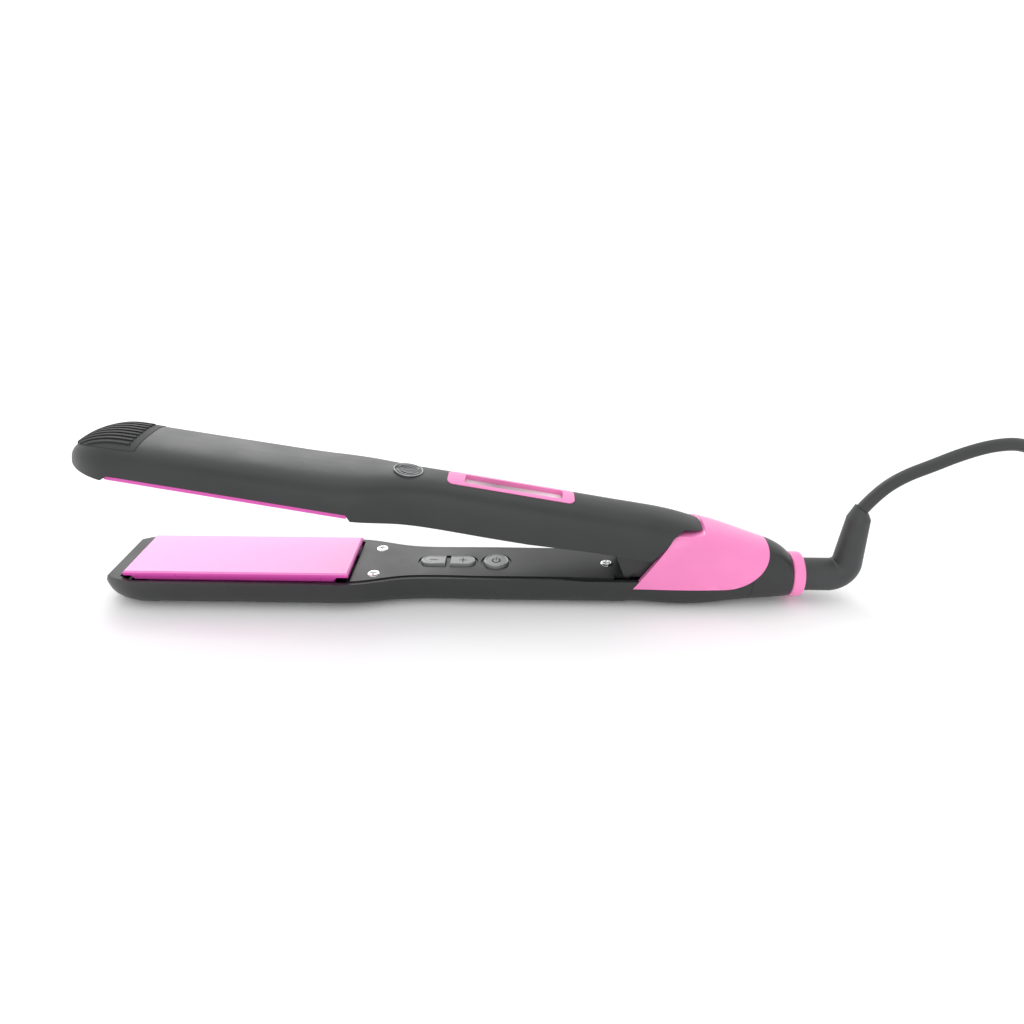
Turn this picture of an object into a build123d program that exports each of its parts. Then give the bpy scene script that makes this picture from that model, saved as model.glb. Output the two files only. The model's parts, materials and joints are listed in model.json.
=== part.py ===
from build123d import *
import os
from math import cos, pi, radians, sin, tan

# Hair straightener lying on its lower arm, in millimetres.
# +Z is up, the tips point along -X and the cord leaves at +X. The origin is on
# the rest plane, straight below the hinge pin, and y = 0 is the middle plane.

os.makedirs("parts", exist_ok=True)

# ---------------------------------------------------------------- driving sizes
PLATE_LENGTH = 90.0
PLATE_WIDTH = 30.0
PLATE_THICK = 1.8
PLATE_TRAVEL = 1.0
PLATE_GAP = 0.2            # between the two plates when the arms are shut
HANDLE_LENGTH = 139.5      # from the hinge pin to the rear end of the plates
ARM_DEPTH = 17.2           # from the rest plane to the plane where the plates meet
UPPER_HEAD_DEPTH = 15.9    # the upper arm is a little slimmer over the plate
UPPER_BACK_DEPTH = 18.4    # and a little fuller over the handle
HANDLE_HALF_WIDTH = 12.8
SIDE_MARGIN = 3.5          # housing beside the plate
UPPER_NOSE_AHEAD = 18.7    # how far the upper tip stands ahead of the plate
LOWER_NOSE_AHEAD = 13.0
OPEN_ANGLE = 9.9           # between the arms at the open stop
HINGE_Z = ARM_DEPTH + 0.8
PIN_RADIUS = 2.0
WALL = 1.8
COVER_WALL = 2.0
SWIVEL_Z = 10.6
RING_RADIUS = 9.3
CORD_RADIUS = 2.5

# ---------------------------------------------------------------- clearances
FIT = 0.12                 # between pieces that are fixed to each other
RUN = 0.4                  # between pieces that move past each other
BORE_RUN = 0.06            # radial, on the hinge pin
SECTION_FULLNESS = 0.80    # 0.55 gives an ellipse, 1 a box

# ---------------------------------------------------------------- places along X
PLATE_BACK = -HANDLE_LENGTH
PLATE_FRONT = PLATE_BACK - PLATE_LENGTH
HEAD_HALF_WIDTH = PLATE_WIDTH / 2 + SIDE_MARGIN
NECK_LENGTH = 30.0         # over which an arm narrows behind the plate
NECK_X = PLATE_BACK - 3.0
REAR_X = -30.0             # where the arms pass into the hinge end
COVER_TOP_X = 0.9          # front edge of the hinge cover's roof
COLLAR_X = 21.0
RING_X = 38.0
RING_LENGTH = 5.0
ELBOW_X = 61.4

# depths are counted from the plane where the plates meet, outwards
LOWER_NOSE_EDGE = 2.2
UPPER_NOSE_EDGE = 1.5
LOWER_SIDE_EDGE = 3.2
UPPER_SIDE_EDGE = 3.9
NOSE_RAMP = 3.0            # over which the edge steps down beside the plate's front
NOSE_SLOPE = 1.5           # depth gained per length on the lower tip's slanted front
NOSE_SLANT = 6.5           # how far that slant reaches back from the tip
PARTING_SPARE = 5.0        # how far an arm's blank reaches past that plane
COVER_FACE = 2.7           # face of the lower inner cover
COVER_THICK = 1.8
REST_CROWN = 0.15          # cut off the crowned underside, which leaves a flat strip


def smooth(value):
    """Ease from 0 to 1 as value goes from 0 to 1."""
    clipped = min(max(value, 0.0), 1.0)
    return clipped * clipped * (3 - 2 * clipped)


def blend(start, end, value):
    return start + (end - start) * smooth(value)


def xz_face(*points):
    """A face in the plane y = 0 from corners given as (x, z)."""
    return Plane.XZ * make_face(Polyline(*points, close=True))


def across(face, half_depth):
    """Extrude a face that lies in y = 0 to both sides."""
    return extrude(face, half_depth, both=True)


def bands(face, inner, outer):
    """Two mirrored slices of a face in y = 0, from inner to outer on each side."""
    slice_ = extrude(face, (outer - inner) / 2, both=True)
    offset = (inner + outer) / 2
    return Pos(0, offset, 0) * slice_ + Pos(0, -offset, 0) * slice_


def block(x0, x1, half_width, z0, z1):
    return Pos((x0 + x1) / 2, 0, (z0 + z1) / 2) * Box(x1 - x0, 2 * half_width, z1 - z0)


def rod(start, end, radius):
    """A round bar between two points."""
    axis = Vector(*end) - Vector(*start)
    return extrude(Plane(start, z_dir=axis) * Circle(radius), axis.length)


def along_y(radius, inner, outer, x=0.0, z=HINGE_Z):
    """Two mirrored discs on a line parallel to Y."""
    return bands(Plane.XZ * Pos(x, z) * Circle(radius), inner, outer)


# ---------------------------------------------------------------- arm blanks
# An arm's blank lies on the parting plane z = 0 with its outer face towards +z.

def half_width_at(x):
    """Wide beside the plate and narrower along the handle."""
    return blend(HEAD_HALF_WIDTH, HANDLE_HALF_WIDTH, (x - NECK_X) / NECK_LENGTH)


def lower_depth_at(x):
    return ARM_DEPTH + REST_CROWN


def upper_depth_at(x):
    """Slim at the tip, fullest ahead of the hinge and low where it meets the cover."""
    head = blend(UPPER_HEAD_DEPTH - 1.0, UPPER_HEAD_DEPTH, (x - PLATE_FRONT) / PLATE_LENGTH)
    handle = blend(head, UPPER_BACK_DEPTH, (x - PLATE_BACK + 25) / 60)
    return blend(handle, UPPER_BACK_DEPTH - 4.6, (x - REAR_X - 8) / 44)


class Arm:
    """What differs between the two arms' outer shapes."""

    def __init__(self, depth_at, ahead, nose_length, plan_power, side_power):
        self.depth_at = depth_at
        self.tip_x = PLATE_FRONT - ahead
        self.nose_length = nose_length
        self.nose_x = self.tip_x + nose_length
        self.plan_power = plan_power      # above 1 the tip is pointed, below 1 blunt
        self.side_power = side_power


UPPER = Arm(upper_depth_at, UPPER_NOSE_AHEAD, 24.0, 1.25, 1.0)
LOWER = Arm(lower_depth_at, LOWER_NOSE_AHEAD, 20.0, 0.78, 0.35)


def arm_section(x, half_width, depth):
    """Outline across an arm: flat parting side, upright sides and a crowned back."""
    full = SECTION_FULLNESS
    start = Line((x, -half_width, -PARTING_SPARE), (x, half_width, -PARTING_SPARE))
    right = Line((x, half_width, -PARTING_SPARE), (x, half_width, 0))
    right_crown = Bezier((x, half_width, 0), (x, half_width, full * depth),
                         (x, full * half_width, depth), (x, 0, depth))
    left_crown = Bezier((x, 0, depth), (x, -full * half_width, depth),
                        (x, -half_width, full * depth), (x, -half_width, 0))
    left = Line((x, -half_width, 0), (x, -half_width, -PARTING_SPARE))
    return Wire([start, right, right_crown, left_crown, left])


def arm_blank(arm, inset=0.0, end_x=6.0):
    """A whole arm as one solid, drawn in by inset on its sides and back."""
    depth_at = arm.depth_at
    sections = []
    for angle in (80, 66, 52, 38, 24, 10):
        x = arm.nose_x - (arm.nose_length - inset) * sin(radians(angle))
        width = (HEAD_HALF_WIDTH - inset) * cos(radians(angle)) ** arm.plan_power
        depth = (depth_at(arm.nose_x) - inset) * cos(radians(angle)) ** arm.side_power
        sections.append(arm_section(x, width, depth))
    places = [arm.nose_x + step for step in (1, 5, 10, 17, 26, 38, 52)] + [PLATE_BACK - 15]
    places += [NECK_X + NECK_LENGTH * share for share in (0.0, 0.25, 0.5, 0.75, 1.0)]
    places += [PLATE_BACK + 48, PLATE_BACK + 75, REAR_X, REAR_X + 12, REAR_X + 24, end_x]
    for x in places:
        sections.append(arm_section(x, half_width_at(x) - inset, depth_at(x) - inset))
    return Solid.make_loft(sections)


def upper_nose_cut(grow=0.0):
    """What is cut from the upper blank's parting side at the tip, deeper by grow."""
    edge = UPPER_NOSE_EDGE + grow
    far = UPPER.tip_x - 5
    return across(xz_face((far, -9), (PLATE_FRONT + 0.1, -9), (PLATE_FRONT + 0.1, edge), (far, edge)), 40)


def lower_nose_cut(grow=0.0):
    """The same for the lower blank, whose tip also has a slanted front."""
    edge = LOWER_NOSE_EDGE + grow
    far = LOWER.tip_x - 5
    knee = LOWER.tip_x + NOSE_SLANT + 0.55 * grow
    low = edge + (knee - far) * NOSE_SLOPE
    return across(xz_face((far, -9), (PLATE_FRONT + 0.1, -9), (PLATE_FRONT + 0.1, edge),
                          (knee, edge), (far, low)), 40)


def side_cut(nose_edge, side_edge, *rear_edge):
    """What is cut from a blank's parting side from the plate to the rear."""
    points = [(PLATE_FRONT, -9), (PLATE_FRONT, nose_edge), (PLATE_FRONT + NOSE_RAMP, side_edge)]
    points += list(rear_edge)
    points += [(rear_edge[-1][0], -9)]
    return across(xz_face(*points), 40)


def lower_place(shape):
    """Put an arm piece into the lower arm."""
    return Pos(0, 0, ARM_DEPTH) * mirror(shape, Plane.XY)


OPEN_TURN = (Pos(0, 0, HINGE_Z) * Rot(0, OPEN_ANGLE, 0) * Pos(0, 0, -HINGE_Z))


def upper_place(shape):
    """Put an arm piece into the upper arm, which is open."""
    return OPEN_TURN * Pos(0, 0, ARM_DEPTH) * shape


# ---------------------------------------------------------------- hinge end blank
# One smooth body that the hinge cover, the lower housing's end and the collar share.

def rear_section(x, half_width, bottom, top, full):
    """Closed outline of four quarter arcs, from box-like to round."""
    middle = (bottom + top) / 2
    corners = [Vector(x, half_width, middle), Vector(x, 0, top),
               Vector(x, -half_width, middle), Vector(x, 0, bottom)]
    edges = []
    for index, corner in enumerate(corners):
        after = corners[(index + 1) % 4]
        outer = corner + after - Vector(x, 0, middle)
        edges.append(Bezier(corner, corner + (outer - corner) * full,
                            after + (outer - after) * full, after))
    return Wire(edges)


def rear_blank(inset=0.0):
    top = 2 * ARM_DEPTH + REST_CROWN
    ring = RING_RADIUS - 0.4
    rows = [
        (REAR_X, HANDLE_HALF_WIDTH, -REST_CROWN, top, SECTION_FULLNESS),
        (-14, HANDLE_HALF_WIDTH, -REST_CROWN, top, 0.84),
        (0, HANDLE_HALF_WIDTH, -REST_CROWN, top, 0.85),
        (14, HANDLE_HALF_WIDTH - 0.7, 0.8, top - 3.8, 0.76),
        (27, HANDLE_HALF_WIDTH - 2.0, 1.5, top - 8.2, 0.68),
        (RING_X, ring, SWIVEL_Z - ring, SWIVEL_Z + ring, 0.5523),
    ]
    wires = []
    for x, half_width, bottom, roof, full in rows:
        wires.append(rear_section(x, half_width - inset, bottom + inset, roof - inset, full))
    return Solid.make_loft(wires)


COVER_LOW_Z = 9.9
COVER_HIGH_Z = 32.8
COVER_ARC = 17.1


def cover_outline(grow=0.0):
    """Side view of the hinge cover: slanted front, notch at the top, round back."""
    low, high = COVER_LOW_Z - grow, COVER_HIGH_Z + grow
    arc_x = 10.0
    arc_z = COVER_LOW_Z + COVER_ARC
    radius = COVER_ARC + grow
    slant = (Vector(15.1, 22.9)).normalized()
    front = Vector(-26.5, COVER_LOW_Z) + Vector(-slant.Y, slant.X) * grow
    low_front = front + slant * ((low - front.Y) / slant.Y)
    high_front = front + slant * ((high - front.Y) / slant.Y)
    roof_x = COVER_TOP_X - grow
    lines = Polyline((arc_x, low), (low_front.X, low), (high_front.X, high),
                     (roof_x, high), (roof_x, 45), (arc_x + radius, 45), (arc_x + radius, arc_z))
    back = RadiusArc((arc_x + radius, arc_z), (arc_x, low), radius)
    face = make_face(lines + back)
    face = fillet(face.vertices().sort_by_distance((high_front.X, high))[0], 3.0)
    face = fillet(face.vertices().sort_by_distance((roof_x, high))[0], 1.8)
    return Plane.XZ * face


def turned(shape, angle):
    """A shape turned about the hinge pin; a positive angle lifts the tips."""
    return Pos(0, 0, HINGE_Z) * Rot(0, angle, 0) * Pos(0, 0, -HINGE_Z) * shape


# ---------------------------------------------------------------- solids used often
LOWER_BLANK = arm_blank(LOWER)
LOWER_HOLLOW = arm_blank(LOWER, WALL)
UPPER_BLANK = arm_blank(UPPER)
UPPER_HOLLOW = arm_blank(UPPER, WALL)
REAR_BLANK = rear_blank()
REAR_HOLLOW = rear_blank(WALL)
ABOVE_REST = block(-300, 100, 60, 0, 80)

LUG_IN, LUG_OUT = 7.6, 10.2
KNUCKLE_IN, KNUCKLE_OUT = 4.4, 7.2
LUG_RADIUS = 6.0
BUSH_RADIUS = 3.0
SKIRT_IN = 8.7             # skirts that hang from the upper arm inside its sides
SKIRT_FRONT_X = -33.0
SKIRT_LOW_Z = 14.3

# ---------------------------------------------------------------- screws
SCREW_HEAD = 2.5
SCREW_SHANK = 1.25
SCREW_LENGTH = 7.0
HEAD_HEIGHT = 1.3
HEAD_PROUD = 0.25
BOSS_RADIUS = 2.7
BOSS_GAP = 0.35            # under the inner cover, which may slope
FRONT_SCREW_X = PLATE_BACK + 9.1
FRONT_SCREW_Y = 10.0
REAR_SCREW_X = -36.1
SCREW_PLACES = [(FRONT_SCREW_X, -FRONT_SCREW_Y), (FRONT_SCREW_X, FRONT_SCREW_Y), (REAR_SCREW_X, 0)]


def make_screw():
    """Pan-head cross screw whose head is let into the face z = 0; it points along +z."""
    head = Pos(0, 0, HEAD_HEIGHT / 2 - HEAD_PROUD) * Cylinder(SCREW_HEAD, HEAD_HEIGHT)
    shank = Pos(0, 0, SCREW_LENGTH / 2 + 0.5) * Cylinder(SCREW_SHANK, SCREW_LENGTH)
    slot = Box(2.6, 0.6, 1.4) + Box(0.6, 2.6, 1.4)
    return head + shank - Pos(0, 0, -HEAD_PROUD) * slot


def screw_hole():
    """Room for the head and a snug hole for the shank."""
    depth = HEAD_HEIGHT - HEAD_PROUD
    head = Pos(0, 0, depth - 5) * Cylinder(SCREW_HEAD + FIT, 10)
    shank = Pos(0, 0, 4) * Cylinder(SCREW_SHANK + 0.02, SCREW_LENGTH + 4)
    return head + shank


def at_screws(shape, face_at):
    """Copies of a shape at each screw, raised to the inner cover's face there."""
    return [Pos(x, y, face_at(x)) * shape for x, y in SCREW_PLACES]


def joined(shapes):
    result = shapes[0]
    for shape in shapes[1:]:
        result = result + shape
    return result


def bosses(face_at, blank):
    """Screw bosses that stand between the back of a housing and its inner cover."""
    post = Pos(0, 0, COVER_THICK + BOSS_GAP + 12) * Cylinder(BOSS_RADIUS, 24)
    return joined(at_screws(post, face_at)) & blank


def lower_face_at(x):
    """Depth of the lower inner cover's face."""
    return COVER_FACE


# parting edge of the upper handle as (x, depth), and the inner cover's face above it
UPPER_EDGE = [(PLATE_BACK + 2, 1.2), (PLATE_BACK + 70, 1.0), (REAR_X - 13, 2.1), (REAR_X + 6, 2.1)]
UPPER_COVER_SET = 1.1


def upper_face_at(x):
    """Depth of the upper inner cover's face, which follows the parting edge."""
    for (x0, z0), (x1, z1) in zip(UPPER_EDGE, UPPER_EDGE[1:]):
        if x <= x1:
            break
    return z0 + (z1 - z0) * (x - x0) / (x1 - x0) + UPPER_COVER_SET


# ---------------------------------------------------------------- lower arm shell
LOWER_REAR_EDGE = ARM_DEPTH - 13.4


def make_lower_housing():
    nose_roof = lower_nose_cut(WALL) & block(-400, PLATE_FRONT - 1.2, 60, -20, 40)
    shell = LOWER_BLANK - (LOWER_HOLLOW - nose_roof) - lower_nose_cut()
    shell = shell - side_cut(LOWER_NOSE_EDGE, LOWER_SIDE_EDGE, (REAR_X - 25, LOWER_SIDE_EDGE),
                             (REAR_X - 15, LOWER_REAR_EDGE), (20, LOWER_REAR_EDGE))
    shell = shell + bosses(lower_face_at, arm_blank(LOWER, 1.0))
    for hole in at_screws(screw_hole(), lower_face_at):
        shell = shell - hole
    shell = shell - across(xz_face((REAR_X, -9), (20, -9), (20, 30), (REAR_X, 30)), 40)
    tray = lower_place(shell) & ABOVE_REST
    edge_z = ARM_DEPTH - LOWER_REAR_EDGE
    region = xz_face((REAR_X, -1), (COLLAR_X, -1), (COLLAR_X, edge_z), (REAR_X, edge_z))
    rear = (REAR_BLANK - REAR_HOLLOW) & across(region - cover_outline(FIT), 40)
    lug_face = xz_face((-LUG_RADIUS, 0), (LUG_RADIUS, 0), (LUG_RADIUS, HINGE_Z), (-LUG_RADIUS, HINGE_Z))
    lug_face = lug_face + Plane.XZ * Pos(0, HINGE_Z) * Circle(LUG_RADIUS)
    lugs = bands(lug_face, LUG_IN, LUG_OUT) & rear_blank(1.0)
    posts = [Pos(x, 0, BOARD_Z / 2) * Cylinder(2.2, BOARD_Z) for x in BOARD_POSTS]
    posts = joined(posts) & lower_place(arm_blank(LOWER, 1.0))
    housing = tray + (rear & ABOVE_REST) + (lugs & ABOVE_REST) + posts
    housing = housing - along_y(PIN_RADIUS + 0.01, 0, 20)
    for x in BOARD_POSTS:
        housing = housing - Pos(x, 0, BOARD_Z) * Cylinder(BOARD_SCREW + 0.02, 9)
    return housing


# ---------------------------------------------------------------- control buttons
BUTTON_TOP = ARM_DEPTH - COVER_FACE + 0.7
BUTTON_TRAVEL = 0.4
BUTTON_WIDTH = 6.5
MINUS_X = PLATE_BACK + 32.1
PLUS_X = PLATE_BACK + 44.3
POWER_X = PLATE_BACK + 58.0
POWER_RADIUS = 5.0
BUTTON_LENGTH = 10.0
GROOVE_DEPTH = 0.6
BOARD_Z = 6.8
BOARD_THICK = 1.4
BOARD_X = (PLATE_BACK + 22, PLATE_BACK + 68)
BOARD_POSTS = (BOARD_X[0] + 3, BOARD_X[1] - 3)
BOARD_SCREW = 0.9
SWITCH_HEIGHT = 2.9
COVER_UNDER_Z = ARM_DEPTH - COVER_FACE - COVER_THICK
COVER_FACE_Z = ARM_DEPTH - COVER_FACE
WINDOW_X = PLATE_BACK + 20.1
WINDOW_SIZE = 3.2


def button_outline(kind, grow=0.0):
    """Outline of a key seen from above: a half capsule or a disc."""
    if kind == "power":
        return Pos(POWER_X, 0) * Circle(POWER_RADIUS + grow)
    side = -1 if kind == "minus" else 1
    centre = MINUS_X if kind == "minus" else PLUS_X
    round_centre = centre + side * (BUTTON_LENGTH - BUTTON_WIDTH) / 2
    flat = centre - side * BUTTON_LENGTH / 2
    radius = BUTTON_WIDTH / 2 + grow
    end = flat - side * grow
    straight = Pos((round_centre + end) / 2, 0) * Rectangle(abs(round_centre - end), 2 * radius)
    return straight + Pos(round_centre, 0) * Circle(radius)


def make_button(kind):
    flange_z = COVER_UNDER_Z - FIT - 0.6
    cap = Pos(0, 0, flange_z) * extrude(button_outline(kind), BUTTON_TOP - flange_z)
    flange = Pos(0, 0, flange_z) * extrude(button_outline(kind, 0.7), 0.6)
    return cap + flange


def make_lower_inner_cover():
    inside = arm_blank(LOWER, WALL + FIT)
    slab = block(PLATE_BACK + 0.8, REAR_X + 3, 30, COVER_FACE, COVER_FACE + COVER_THICK)
    skirt_slot = block(SKIRT_FRONT_X - 1.2, REAR_X + 5, 30, -5, 20) - block(-100, 50, SKIRT_IN - RUN, -9, 30)
    cover = (slab & inside) - skirt_slot
    for hole in at_screws(screw_hole(), lower_face_at):
        cover = cover - hole
    cover = lower_place(cover)
    groove = button_outline("power", 1.3) + Pos((MINUS_X + PLUS_X) / 2, 0) * SlotOverall(
        PLUS_X - MINUS_X + BUTTON_LENGTH + 2.6, BUTTON_WIDTH + 2.6)
    cover = cover - Pos(0, 0, COVER_FACE_Z - GROOVE_DEPTH) * extrude(groove, 2)
    for kind in ("minus", "plus", "power"):
        cover = cover - Pos(0, 0, 5) * extrude(button_outline(kind, 0.25), 20)
    return cover - Pos(WINDOW_X, 0, COVER_FACE_Z) * Box(WINDOW_SIZE, WINDOW_SIZE, 6)


def make_indicator():
    size = WINDOW_SIZE - 2 * 0.05
    head = Pos(WINDOW_X, 0, COVER_FACE_Z - 1.0) * Box(size, size, 2.0)
    return head + Pos(WINDOW_X, 0, COVER_UNDER_Z - 0.6) * Box(size + 1.2, size + 1.2, 1.0)


def make_board():
    length = BOARD_X[1] - BOARD_X[0]
    middle = sum(BOARD_X) / 2
    board = Pos(middle, 0, BOARD_Z + BOARD_THICK / 2) * Box(length, 17, BOARD_THICK)
    for x in BOARD_POSTS:
        board = board - Pos(x, 0, BOARD_Z) * Cylinder(BOARD_SCREW + 0.05, 5)
    return board


def make_switches():
    """Three small push switches, each a square body with a round plunger."""
    top = BOARD_Z + BOARD_THICK
    solids = []
    for x in (MINUS_X, PLUS_X, POWER_X):
        body = Pos(x, 0, top + SWITCH_HEIGHT / 2) * Box(6, 6, SWITCH_HEIGHT)
        solids.append(body + Pos(x, 0, top + SWITCH_HEIGHT + 0.2) * Cylinder(1.6, 0.4))
    return solids


def make_board_screws():
    top = BOARD_Z + BOARD_THICK
    head = Pos(0, 0, top + 0.6) * Cylinder(1.8, 1.2)
    shank = Pos(0, 0, top - 2.2) * Cylinder(BOARD_SCREW, 4.4)
    return [Pos(x, 0, 0) * (head + shank) for x in BOARD_POSTS]


# ---------------------------------------------------------------- hot plates
# Drawn for an arm whose parting plane is z = 0, with depth along +z.
PLATE_MID = (PLATE_FRONT + PLATE_BACK) / 2
FLANGE_DEPTH = 2.0
FLANGE_FRONT_INSET = 2.5
FLANGE_BACK_INSET = 4.5
FLANGE_SIDE_INSET = 0.6
RAIL_DEPTH = 5.0
RAIL_IN, RAIL_OUT = 8.2, 10.0
PLATE_TOP = PLATE_GAP / 2
FLANGE_END = PLATE_TOP + PLATE_THICK + FLANGE_DEPTH
RAIL_END = FLANGE_END + RAIL_DEPTH
HEATER_THICK = 2.6
CLAMP_THICK = 0.8
CUSHION_THICK = 2.0
SEAT_FLOOR = RAIL_END + CUSHION_THICK
SEAT_WALL = 1.2
CUSHION_SPREAD = 0.3       # share of the plate length to each side of its middle


def make_plate():
    slab_z = PLATE_TOP + PLATE_THICK / 2
    slab = Pos(PLATE_MID, 0, slab_z) * Box(PLATE_LENGTH, PLATE_WIDTH, PLATE_THICK)
    rim = slab.faces().sort_by(Axis.Z)[0].edges()
    slab = chamfer(rim, 0.6)
    flange_x = (PLATE_FRONT + FLANGE_FRONT_INSET, PLATE_BACK - FLANGE_BACK_INSET)
    flange_width = PLATE_WIDTH / 2 - FLANGE_SIDE_INSET
    flange = block(flange_x[0], flange_x[1], flange_width, PLATE_TOP + PLATE_THICK, FLANGE_END)
    corners = flange.edges().filter_by(Axis.Y).group_by(Axis.Z)[-1]
    flange = chamfer(corners, FLANGE_DEPTH - 0.2)
    rail_z = FLANGE_END + RAIL_DEPTH / 2
    rail = Box(PLATE_LENGTH - 14, RAIL_OUT - RAIL_IN, RAIL_DEPTH)
    rails = [Pos(PLATE_MID, side * (RAIL_IN + RAIL_OUT) / 2, rail_z) * rail for side in (-1, 1)]
    return slab + flange + rails[0] + rails[1]


def make_heater():
    return Pos(PLATE_MID - 4, 0, FLANGE_END + HEATER_THICK / 2) * Box(
        PLATE_LENGTH - 24, 2 * RAIL_IN - 0.6, HEATER_THICK)


def make_clamp():
    """Sprung strip that holds the heater against the plate, between its rails."""
    z = FLANGE_END + HEATER_THICK + CLAMP_THICK / 2
    strip = Pos(PLATE_MID - 4, 0, z) * Box(PLATE_LENGTH - 28, 2 * RAIL_IN - 0.2, CLAMP_THICK)
    slot = Pos(0, 0, z) * Box(9, 6, 3)
    for share in (-0.22, 0.22):
        strip = strip - Pos(PLATE_MID - 4 + share * PLATE_LENGTH, 0, 0) * slot
    return strip


def make_sensor(radius, length):
    """Round sensor lying on the back of the plate behind the heater."""
    x = PLATE_BACK - FLANGE_BACK_INSET - 2.5
    return rod((x, -length / 2, FLANGE_END + radius), (x, length / 2, FLANGE_END + radius), radius)


def make_cushions():
    pad = Pos(0, 0, RAIL_END + CUSHION_THICK / 2) * Box(10, 2 * RAIL_OUT, CUSHION_THICK)
    return [Pos(PLATE_MID + side * CUSHION_SPREAD * PLATE_LENGTH, 0, 0) * pad for side in (-1, 1)]


def make_seat(arm):
    """Tray of heat-proof plastic that the plate floats in."""
    inside = arm_blank(arm, WALL + FIT)
    x0, x1 = PLATE_FRONT + 0.6, PLATE_BACK - 0.4
    top = UPPER_SIDE_EDGE + 0.9
    bottom = SEAT_FLOOR + SEAT_WALL
    tray = block(x0, x1, 40, top, bottom) & inside
    pocket = block(x0 + SEAT_WALL, x1 - SEAT_WALL, PLATE_WIDTH / 2, top - 1, SEAT_FLOOR)
    notch = block(x1 - 4, x1 + 1, 7, top - 1, RAIL_END)
    return tray - pocket - notch


RIB_PITCH = 2.5
RIB_WIDTH = 1.1


def make_grip(arm):
    """Ribbed finger pad let into the outer face of a tip."""
    rear = PLATE_FRONT + 11
    plan = Pos(arm.nose_x, 0) * Ellipse(arm.nose_length - 3, HEAD_HALF_WIDTH - 5)
    length = rear - arm.tip_x + 20
    plan = plan & Pos(rear - length / 2, 0) * Rectangle(length, 80)
    stamp = Pos(0, 0, 6) * extrude(plan, 40)
    inner = arm_blank(arm, 1.0)
    pad = (arm_blank(arm, -0.15) - inner) & stamp
    ribs = []
    for index in range(-4, 5):
        strip = Box(rear - arm.tip_x - 4, RIB_WIDTH, 40)
        ribs.append(Pos((arm.tip_x + rear) / 2 - 1, index * RIB_PITCH, 20) * strip)
    ridges = (arm_blank(arm, -0.65) - inner) & joined(ribs) & stamp
    return pad + ridges, stamp


# ---------------------------------------------------------------- upper arm shell
BADGE_X = PLATE_BACK + 19.6
BADGE_RADIUS = 6.0
BADGE_DEPTH = 1.0
BEZEL_LENGTH = 50.0
BEZEL_WIDTH = 11.0
BEZEL_X = PLATE_BACK + 60.1
BEZEL_PROUD = 0.25
BEZEL_SEAT = 14.8
SCREEN_LENGTH = 38.7
SCREEN_WIDTH = 7.4
SCREEN_SHIFT = 1.1         # the opening sits nearer the hinge
LENS_THICK = 1.4
LENS_PROUD = 1.7           # window raised into the bezel's opening


def bezel_stamp(grow=0.0):
    outline = RectangleRounded(BEZEL_LENGTH + 2 * grow, BEZEL_WIDTH + 2 * grow, 2.6)
    return Pos(BEZEL_X, 0, BEZEL_SEAT) * extrude(outline, 12)


def screen_stamp():
    outline = RectangleRounded(SCREEN_LENGTH, SCREEN_WIDTH, 1.0)
    return Pos(BEZEL_X + SCREEN_SHIFT, 0, BEZEL_SEAT - 3) * extrude(outline, 14)


def badge_stamp():
    return Pos(BADGE_X, 0, 20) * Cylinder(BADGE_RADIUS, 20)


def swept(shape):
    """The room that a piece of the hinge cover needs in the upper arm as it shuts."""
    steps = 4
    return joined([turned(shape, OPEN_ANGLE * step / steps) for step in range(steps + 1)])


def make_upper_housing(grip_stamp):
    nose_roof = upper_nose_cut(WALL) & block(-400, PLATE_FRONT - 1.2, 60, -20, 40)
    shell = UPPER_BLANK - (UPPER_HOLLOW - nose_roof) - upper_nose_cut()
    rear_depth = UPPER_EDGE[-1][1]
    shell = shell - side_cut(UPPER_NOSE_EDGE, UPPER_SIDE_EDGE, (PLATE_BACK, UPPER_SIDE_EDGE),
                             *UPPER_EDGE, (20, rear_depth))
    shell = shell + bosses(upper_face_at, arm_blank(UPPER, 1.0))
    for hole in at_screws(screw_hole(), upper_face_at):
        shell = shell - hole
    shell = shell - bezel_stamp(0.05)
    shell = shell - (badge_stamp() - arm_blank(UPPER, BADGE_DEPTH))
    shell = shell - (grip_stamp - arm_blank(UPPER, 1.0))
    cheeks = across(cover_outline(RUN), 40)
    skin = upper_place(shell) - swept(cheeks)
    below_edge = turned(block(-60, 40, 40, -20, ARM_DEPTH + rear_depth), OPEN_ANGLE)
    inside = upper_place(arm_blank(UPPER, 0.6)) - below_edge
    skirt_top = xz_face((SKIRT_FRONT_X, 20), (-7, 16), (-7, 40), (SKIRT_FRONT_X, 40))
    skirt_low = xz_face((SKIRT_FRONT_X, 26), (SKIRT_FRONT_X, 21.7), (SKIRT_FRONT_X + 3, SKIRT_LOW_Z),
                        (-9.5, SKIRT_LOW_Z), (-7, 17), (-7, 24))
    hinge_room = Plane.XZ * Pos(0, HINGE_Z) * Circle(LUG_RADIUS + 1.2)
    skirts = bands(skirt_top - hinge_room, SKIRT_IN, LUG_OUT) & inside
    skirts = skirts + bands(skirt_low - hinge_room, SKIRT_IN, LUG_OUT)
    web_face = xz_face((REAR_X + 3, 21), (-5, 17), (4, 20), (0, 40), (REAR_X + 3, 40))
    webs = bands(web_face, KNUCKLE_IN, KNUCKLE_OUT) & inside
    knuckles = along_y(LUG_RADIUS, KNUCKLE_IN, KNUCKLE_OUT)
    hinge = skirts + webs + knuckles - swept(cheeks - rear_blank(COVER_WALL + RUN))
    return skin + hinge - along_y(BUSH_RADIUS + 0.01, 0, 20)


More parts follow.
